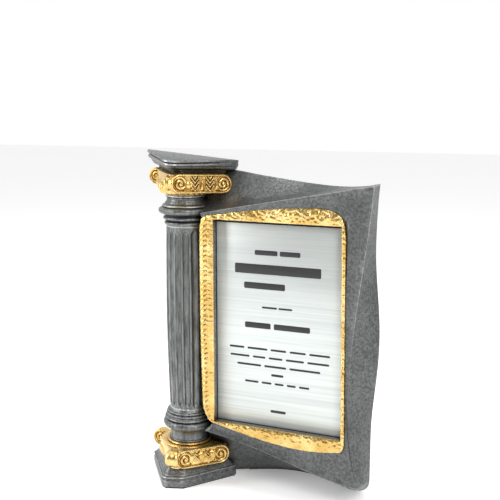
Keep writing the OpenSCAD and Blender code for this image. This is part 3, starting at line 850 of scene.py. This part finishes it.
def plinth():
    """The foot block: an upright face, two beads over grooves, and a slope."""
    corners = ((-31.8, COLUMN_BACK), (29.5, COLUMN_BACK), (29.2, 8.2), (5.6, -21.8),
               (-5.5, -25.4), (-8.5, -24.0), (-31.8, 7.6))
    # Each row: inset and height, from the bottom up.
    rows = [(0.6, FLOOR_GAP), (0.15, FLOOR_GAP + 0.4), (0.0, FLOOR_GAP + 1.2), (0.1, 4.6),
            (0.2, 4.95), (0.75, 5.2), (0.9, 5.6), (0.95, 6.2), (0.6, 6.6), (0.25, 6.8),
            (0.2, 7.1), (0.5, 7.5), (1.3, 7.7), (1.7, 7.9), (1.75, 8.1), (1.6, 8.3), (1.9, 8.6),
            (2.6, 9.1), (3.3, 9.8), (3.9, 10.7), (4.5, 11.7), (5.2, 12.5), (6.4, PLINTH_TOP)]
    rings = []
    for inset, z in rows:
        along, across = 1 - inset / PLINTH_HALF_W, 1 - inset / PLINTH_FRONT
        inner = [(x * along, y * across if y < COLUMN_BACK else y) for x, y in corners]
        rings.append([(x, y, z) for x, y in rounded_ring(inner, PLINTH_RADIUS)])
    shell = Shell()
    shell.loft(rings)
    return shell.build("plinth_casting", "plinth", SILVER_BLOCK, 50)


# The abacus: its plan, how its top falls to the right and to the front, and how far its
# left end reaches past the plan.
ABACUS_HALF_W = 31.2
ABACUS_FRONT = 24.6
ABACUS_CUT = 3.2
ABACUS_SLANT = 49
ABACUS_RADIUS = 2.6
ABACUS_SHIFT = BLOCK_SHIFT - 0.4
ABACUS_SLOPE = math.tan(math.radians(5))
ABACUS_FRONT_FALL = 0.065
ABACUS_LEFT_REACH = 1.1


def abacus():
    """The moulded slab on the capital: a narrow foot, a cavetto, an ovolo and a thin lip."""
    # Each row: share of the way up and inset.
    rows = [(-0.34, 9.0), (-0.05, 8.4), (0.0, 5.6), (0.06, 4.8), (0.16, 3.9), (0.27, 3.2),
            (0.33, 3.0), (0.37, 2.0), (0.42, 1.2), (0.49, 0.65), (0.57, 0.55), (0.64, 0.8),
            (0.68, 1.4), (0.71, 1.7), (0.74, 1.5), (0.77, 0.6), (0.81, 0.1), (0.88, 0.0),
            (0.95, 0.12), (0.985, 0.45), (1.0, 0.9)]
    rings = []
    for share, inset in rows:
        ring = []
        for x, y in plan(ABACUS_HALF_W - inset, ABACUS_FRONT - inset, ABACUS_CUT,
                         ABACUS_SLANT, ABACUS_RADIUS):
            # The right end stays nearly upright, where the panel's top edge meets it.
            x += ABACUS_SHIFT + 0.75 * min(inset, 4.0) * smooth(18.0, 27.0, x)
            x -= ABACUS_LEFT_REACH * smooth(-12.0, -26.0, x)
            low = ABACUS_BOTTOM - CAPITAL_LEAN * x
            high = ABACUS_TOP - ABACUS_SLOPE * x + ABACUS_FRONT_FALL * min(y, 0.0)
            ring.append((x, y, mix(low, high, share)))
        rings.append(ring)
    shell = Shell()
    shell.loft(rings)
    return shell.build("abacus_casting", "abacus", SILVER_BLOCK, 50)


# ------------------------ gold scroll blocks

# The sine of 45 degrees: the bands face front right.
SLANT = math.sqrt(0.5)
# Thickness of a band, height and half width of a raised rim, and height of a coil.
BAND_T = 7.0
RIM_H = 1.15
RIM_HALF = 0.75
COIL_H = 1.25
# The smooth roll on the left: half its thickness, and how far it sags.
ROLL_HALF_T = 5.0
ROLL_SAG = 1.8
# Middle of the front corner's drum, and the left side of a block's core.
FRONT_CORNER_Y = 20.6
LEFT_CORE = -19.5
# Depth of a left scroll's face, and the height of its coil.
VOLUTE_Y = 4.0
VOLUTE_H = 1.15
# A block's core: half width, cut corner, slant of its sides in degrees, and rounding.
CORE_HALF_W = 25.0
CORE_CUT = 2.0
CORE_SLANT = 46
CORE_RADIUS = 1.2


class Band:
    """A slanted scroll band: its middle height, half height, reach, and ends along the face."""

    def __init__(self, z, radius, reach, ends):
        self.z = z
        self.radius = radius
        self.reach = reach
        self.ends = ends
        self.coils = (ends[0] + radius, ends[1] - radius)

    def edge(self, u, v):
        """Distance in from the band's outline."""
        if u < self.coils[0]:
            return self.radius - math.hypot(u - self.coils[0], v)
        if u > self.coils[1]:
            return self.radius - math.hypot(u - self.coils[1], v)
        return self.radius - abs(v)

    def at(self, shift, u, v, out):
        """The point at (u, v) on the band, some way out from its face."""
        d = self.reach + out
        return (shift + SLANT * (d + u), SLANT * (u - d), self.z + v)

    def height(self, u, v, relief):
        """Height of the rim, the two coils and the relief between them."""
        edge = self.edge(u, v)
        rim = RIM_H * bump(edge - RIM_HALF, RIM_HALF)
        field = smooth(0.9, 1.6, edge)
        h = 0.0
        for coil, spin in zip(self.coils, (-1, 1)):
            h = max(h, COIL_H * curl(u - coil, v, 0.80 * self.radius, spin))
        if self.coils[0] + 0.5 * self.radius < u < self.coils[1] - 0.5 * self.radius:
            h = max(h, relief(u, v))
        worn = 0.10 * wobble((u, v, self.z), 1.6, 4.4)
        return max(rim, (h + worn) * field) - 0.5 * smooth(0.35, 0.0, edge)

    def add(self, shell, shift, relief):
        """The band with its relief, facing front and right."""
        shares = [i / 230 for i in range(231)]
        rises = [math.sin(math.pi * (i / 80 - 0.5)) for i in range(81)]

        def spot(share, rise):
            v = self.radius * rise
            swell = math.sqrt(max(self.radius ** 2 - v * v, 0.0))
            return mix(self.coils[0] - swell, self.coils[1] + swell, share), v

        def front(share, rise):
            u, v = spot(share, rise)
            return self.at(shift, u, v, self.height(u, v, relief))

        def rear(share, rise):
            u, v = spot(share, rise)
            return self.at(shift, u, v, -BAND_T)

        shell.patch(shares, rises, front, rear)

    def side_roll(self, shell, shift, end):
        """The smooth left side, sagging between the front corner and the left scroll."""
        rings = []
        for k in range(37):
            t = k / 36
            u = mix(self.ends[0], end, t)
            sag = math.sin(math.pi * t) ** 1.5
            tall = self.radius * (1 - 0.20 * sag) * (1 - 0.25 * smooth(0.12, 0.0, t))
            tall *= 1 - 0.30 * smooth(0.45, 1.0, t)
            ring = []
            for a in (2 * math.pi * i / 48 for i in range(48)):
                d = self.reach - ROLL_SAG * sag - ROLL_HALF_T * (1 - math.cos(a))
                z = self.z - self.radius + tall * (1 + math.sin(a))
                ring.append((shift - SLANT * (d + u), SLANT * (u - d), z))
            rings.append(ring)
        shell.loft(rings)


def volute(shell, x, z, radius):
    """A round scroll that faces the front and stands out from the flat back."""
    angles = [2 * math.pi * i / 120 for i in range(120)]

    def ring(reach, depth):
        return [(x + reach * math.cos(a), depth(a), z + reach * math.sin(a)) for a in angles]

    def face(reach):
        def depth(a):
            rim = bump(radius - reach - RIM_HALF, RIM_HALF)
            coil = curl(reach * math.cos(a), reach * math.sin(a), 0.82 * radius, 1)
            return VOLUTE_Y - max(rim, VOLUTE_H * coil)
        return depth

    rings = [ring(radius, lambda a: COLUMN_BACK), ring(radius, lambda a: VOLUTE_Y + 0.4)]
    rings += [ring(radius * (1 - k / 44), face(radius * (1 - k / 44))) for k in range(1, 43)]
    shell.loft(rings, (x, COLUMN_BACK, z), (x, VOLUTE_Y - VOLUTE_H, z))


def curl(u, v, radius, spin):
    """A flat spiral round a small eye."""
    rho = math.hypot(u, v)
    if rho > radius:
        return 0.0
    if rho < 0.16 * radius:
        return 1.0
    phase = rho / radius * 2.1 + spin * math.atan2(v, u) / (2 * math.pi)
    return abs(math.sin(math.pi * phase)) ** 0.7 * smooth(1.0, 0.9, rho / radius)


def palmette(u, v, reach, petals):
    """A fan of petals standing on its middle."""
    rho = math.hypot(u, v)
    if rho < 1e-6 or rho > reach or v < -0.2 * reach:
        return 0.0
    angle = math.atan2(u, v)
    petal = abs(math.cos(petals * angle)) ** 0.6
    return smooth(1.75, 1.45, abs(angle)) * petal * bump(rho / reach - 0.5, 0.5)


def leaf(u, v, half_w, rows):
    """Stacked downward chevrons, like a folded leaf."""
    across = abs(u)
    if across > half_w:
        return 0.0
    h = 0.0
    for row in rows:
        h = max(h, bump(v - row - 1.35 * across, 0.85))
    return h * smooth(half_w, 0.7 * half_w, across)


def capital_relief(u, v):
    """Two folded leaves, two drops and a palmette."""
    h = 0.0
    for uc in (-1.6, 8.0):
        h = max(h, 1.35 * leaf(u - uc, v, 3.3, (-4.4, -1.9, 0.6, 3.1)))
    for uc in (3.2, 12.6):
        h = max(h, 1.2 * bump(u - uc, 0.9 - 0.12 * v) * bump(v + 0.8, 3.4))
    return max(h, 1.1 * palmette(u + 5.2, v + 3.4, 5.2, 1.5))


def base_relief(u, v):
    """Three palmettes, with a small leaf over a small curl between them."""
    h = 0.0
    for uc in (-5.2, 2.2, 9.6):
        h = max(h, 1.35 * palmette(u - uc, v + 4.2, 7.6, 2.5))
    for uc in (-1.5, 5.9):
        h = max(h, 1.3 * leaf(u - uc, v, 1.9, (-2.6, -0.6, 1.4)))
        h = max(h, 1.2 * curl(u - uc, v + 2.6, 2.0, 1))
    return h


def body_block(shell, shift, low, high, front):
    """The block's core, set back on the left behind the scroll's round face."""
    rings = []
    for inset, z in ((1.0, low), (0.0, low + 0.5), (0.0, high - 0.5), (1.0, high)):
        ring = plan(CORE_HALF_W - inset, front - inset, CORE_CUT, CORE_SLANT, CORE_RADIUS)
        rings.append([(max(x, LEFT_CORE) + shift, y, z) for x, y in ring])
    shell.loft(rings)


def front_corner(shell, shift, z, radius, width, fold):
    """The round front corner beside the band: a drum on its side, folded in the middle."""
    rings = []
    for k in range(25):
        t = k / 12 - 1
        reach = radius * (1 - fold * (1 - t * t) ** 4) * (1 - 0.16 * t ** 4)
        rings.append([(shift + t * width / 2, -FRONT_CORNER_Y + reach * math.cos(a),
                       z + reach * math.sin(a))
                      for a in (2 * math.pi * i / 64 for i in range(64))])
    shell.loft(rings)


def capital_block():
    """The upper gold block, on a round cushion carved with eggs."""
    shell = Shell()
    band = Band(z=CAPITAL_TOP - 5.6, radius=5.9, reach=17.6, ends=(-16.6, 22.6))
    band.add(shell, BLOCK_SHIFT, capital_relief)
    band.side_roll(shell, BLOCK_SHIFT, end=10.0)
    volute(shell, x=-23.1, z=CAPITAL_TOP - 5.1, radius=5.4)
    front_corner(shell, BLOCK_SHIFT - 0.6, band.z, radius=5.0, width=6.4, fold=0.16)
    body_block(shell, BLOCK_SHIFT, low=NECK_TOP + 5.0, high=CAPITAL_TOP, front=21.6)
    eggs = [(13.0, NECK_TOP), (14.2, NECK_TOP + 0.6)]
    eggs += [(14.6 + 3.2 * math.sin(a), NECK_TOP + 4.6 - 3.6 * math.cos(a))
             for a in (math.pi * k / 20 for k in range(1, 20))]
    eggs += [(14.6, NECK_TOP + 8.4)]

    def egg(radius, angle, z):
        lobe = abs(math.cos(14 * angle)) ** 0.6
        return radius - 0.9 * (1 - lobe) * smooth(14.5, 16.5, radius)

    turned(shell, eggs, egg)

    def lean(p):
        share = smooth(NECK_TOP, NECK_TOP + 3.0, p[2])
        return (p[0], min(p[1], COLUMN_BACK), p[2] - CAPITAL_LEAN * p[0] * share)

    return shell.build("capital_casting", "capital_scroll_block", GOLD, 55, lean)


def base_block():
    """The lower gold block, with two rings round the column on top."""
    shell = Shell()
    band = Band(z=PLINTH_TOP + 6.5, radius=6.3, reach=18.4, ends=(-15.8, 20.6))
    band.add(shell, 0.0, base_relief)
    band.side_roll(shell, 0.0, end=9.0)
    volute(shell, x=-23.7, z=PLINTH_TOP + 7.4, radius=5.7)
    front_corner(shell, -1.0, band.z, radius=5.8, width=8.4, fold=0.03)
    body_block(shell, 0.0, low=PLINTH_TOP, high=BASE_BLOCK_TOP - 2.0, front=22.6)
    ring = [(14.0, BASE_BLOCK_TOP - 4.0), (17.2, BASE_BLOCK_TOP - 3.0)]
    ring += rounded(BASE_BLOCK_TOP - 1.6, 17.2, 0.75, 10) + [(15.6, BASE_BLOCK_TOP - 0.9)]
    ring += rounded(BASE_BLOCK_TOP - 0.1, 14.9, 0.65, 10) + [(13.0, BASE_BLOCK_TOP + 0.4)]
    turned(shell, ring)

    def flat(p):
        return (p[0], min(p[1], COLUMN_BACK), p[2])

    return shell.build("base_block_casting", "base_scroll_block", GOLD, 55, flat)


# ------------------------ plate and print

INK_T = 0.1
INK_BEVEL = 0.04
INK_RADIUS = 0.8
QUARTER_STEPS = 6


def printed_bar(shell, x0, z0, x1, z1):
    """A thin bar of ink with round corners, on the plate's face."""
    rings = []
    face = PLATE_FACE - INK_T
    for inset, y in ((0.0, PLATE_FACE), (0.0, face + INK_BEVEL),
                     (0.3 * INK_BEVEL, face + 0.3 * INK_BEVEL), (INK_BEVEL, face)):
        ring = []
        r = min(0.45 * (z1 - z0), INK_RADIUS) - inset
        left, right, low, high = x0 + inset + r, x1 - inset - r, z0 + inset + r, z1 - inset - r
        for start, (x, z) in enumerate(((right, high), (left, high), (left, low), (right, low))):
            for k in range(QUARTER_STEPS + 1):
                a = (start + k / QUARTER_STEPS) * math.pi / 2
                ring.append((x + r * math.cos(a), y, z + r * math.sin(a)))
        rings.append(ring)
    shell.loft(rings)


def name_plate():
    """The plate: slightly narrower at its head, with a small bevel all round."""
    rings = []
    for inset, y in ((0.0, PLATE_BACK), (0.0, PLATE_FACE + 0.15), (0.05, PLATE_FACE + 0.05),
                     (0.15, PLATE_FACE)):
        gap = PLATE_GAP + inset
        rings.append([(RECESS_LEFT + gap, y, RECESS_FOOT + gap),
                      (RECESS_RIGHT - gap, y, RECESS_FOOT + gap),
                      (RECESS_RIGHT - HEAD_INSET - gap, y, RECESS_HEAD - PLATE_HEAD_GAP - inset),
                      (RECESS_LEFT + gap, y, RECESS_HEAD - PLATE_HEAD_GAP - inset)])
    shell = Shell()
    shell.loft(rings)
    return shell.build("engraving_plate", "name_plate", brushed_plate("plate_metal"), 30)


# Rows of bars that stand for print: height, centre, length, bar height and bars.
PRINT_ROWS = ((154.7, 63.5, 29.0, 3.0, 2), (144.5, 63.5, 55.0, 6.0, 1), (134.2, 55.3, 26.5, 4.0, 1),
              (121.0, 63.5, 19.5, 1.2, 2), (109.4, 63.6, 42.0, 3.6, 2), (94.6, 64.8, 65.0, 1.3, 5),
              (89.3, 64.8, 64.0, 1.3, 5), (84.0, 64.4, 54.0, 1.3, 3), (78.7, 64.0, 8.0, 1.5, 1),
              (73.2, 63.6, 42.0, 1.3, 5), (55.4, 64.7, 10.0, 1.7, 1))


def plate_print():
    """Greeked print: each row is a few plain round-ended bars, with no letters."""
    random.seed(7)
    shell = Shell()
    for z, centre, length, height, bars in PRINT_ROWS:
        shares = [random.uniform(0.7, 1.3) for _ in range(bars)]
        gap = min(0.05 * length, 2.2)
        room = length - gap * (bars - 1)
        x = centre - length / 2
        for share in shares:
            width = room * share / sum(shares)
            printed_bar(shell, x, z - height / 2, x + width, z + height / 2)
            x += width + gap
    return shell.build("print_bars", "plate_print", print_ink("ink"), 30)


# ------------------------ carried-over pieces

def dress(node, material):
    """Gives a CAD piece its finish."""
    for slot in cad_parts[node].material_slots:
        slot.material = material


def dress_cad_pieces():
    felt = black_felt("felt")
    zinc = zinc_steel("zinc")
    dress("plinth_felt", felt)
    dress("foot_felt", felt)
    dress("plate_tape", foam_tape("tape_foam"))
    dress("tie_rod", zinc_steel("zinc_thread", thread=True))
    dress("tie_rod_nut", zinc)
    dress("tie_rod_washer", zinc)
    dress("panel_dowels", zinc)
    dress("abacus_insert", turned_brass("brass_insert"))


# ------------------------ studio

# The middle of the trophy, which the lights point at, and the way to the bright backdrop.
LIGHT_AIM = (0.0, 0.0, 0.11)
BACKDROP = (-0.25, 0.88, 0.40)
# The camera: its place about the column's axis, its lens, and its turn and tilt in degrees.
EYE = (225.03, -445.87, 239.77)
LENS = 57.34
TURN = 22.21
TILT = 10.04


def floor():
    """A plain white sheet."""
    bpy.ops.mesh.primitive_plane_add(size=8, location=(0, 0, 0))
    sheet = bpy.context.object
    sheet.name = "studio_floor"
    n = Nodes("paper")
    n.shader.inputs["Emission Color"].default_value = rgb(1.0, 1.0, 1.0)
    n.shader.inputs["Emission Strength"].default_value = 0.25
    sheet.data.materials.append(n.finish(rgb(0.96, 0.96, 0.96), 0.9, 0.0))


def soft_box(name, spot, energy, width, height):
    """A soft light aimed at the middle of the trophy."""
    light = bpy.data.lights.new(name, "AREA")
    light.shape = "RECTANGLE"
    light.size = width
    light.size_y = height
    light.energy = energy
    lamp = bpy.data.objects.new(name, light)
    lamp.location = spot
    lamp.rotation_euler = (Vector(LIGHT_AIM) - Vector(spot)).to_track_quat("-Z", "Y").to_euler()
    bpy.context.collection.objects.link(lamp)


def studio():
    """A white backdrop behind, a dimmer room in front, and soft boxes left, right and above."""
    world = bpy.data.worlds.new("studio")
    bpy.context.scene.world = world
    world.use_nodes = True
    tree = world.node_tree
    background = tree.nodes["Background"]
    background.inputs["Strength"].default_value = 1.0
    coords = tree.nodes.new("ShaderNodeTexCoord")
    toward = tree.nodes.new("ShaderNodeVectorMath")
    toward.operation = "DOT_PRODUCT"
    toward.inputs[1].default_value = BACKDROP
    tree.links.new(coords.outputs["Generated"], toward.inputs[0])
    ramp = tree.nodes.new("ShaderNodeMapRange")
    ramp.interpolation_type = "SMOOTHSTEP"
    ramp.inputs["From Min"].default_value = -0.40
    ramp.inputs["From Max"].default_value = 0.60
    ramp.inputs["To Min"].default_value = 0.14
    ramp.inputs["To Max"].default_value = 1.0
    tree.links.new(toward.outputs["Value"], ramp.inputs["Value"])
    tree.links.new(ramp.outputs["Result"], background.inputs["Color"])
    soft_box("left_box", (-0.75, -0.48, 0.45), energy=4.8, width=0.24, height=0.60)
    soft_box("right_box", (0.52, -0.62, 0.66), energy=5.2, width=0.30, height=0.40)
    soft_box("top_box", (0.0, -0.1, 1.0), energy=3.2, width=0.6, height=0.5)


def camera():
    """From the front right and a little above, with a 57 mm lens."""
    data = bpy.data.cameras.new("camera")
    data.sensor_width = 36
    data.lens = LENS
    eye = bpy.data.objects.new("camera", data)
    eye.location = place(EYE)
    eye.rotation_euler = (math.radians(90 - TILT), 0, math.radians(TURN))
    bpy.context.collection.objects.link(eye)
    bpy.context.scene.camera = eye


bpy.context.scene.view_settings.view_transform = "Standard"
camera()
studio()
floor()
sail_panel()
gold_bezel()
base_collar()
fluted_shaft()
neck_collar()
plinth()
abacus()
capital_block()
base_block()
name_plate()
plate_print()
dress_cad_pieces()

bpy.context.view_layer.update()
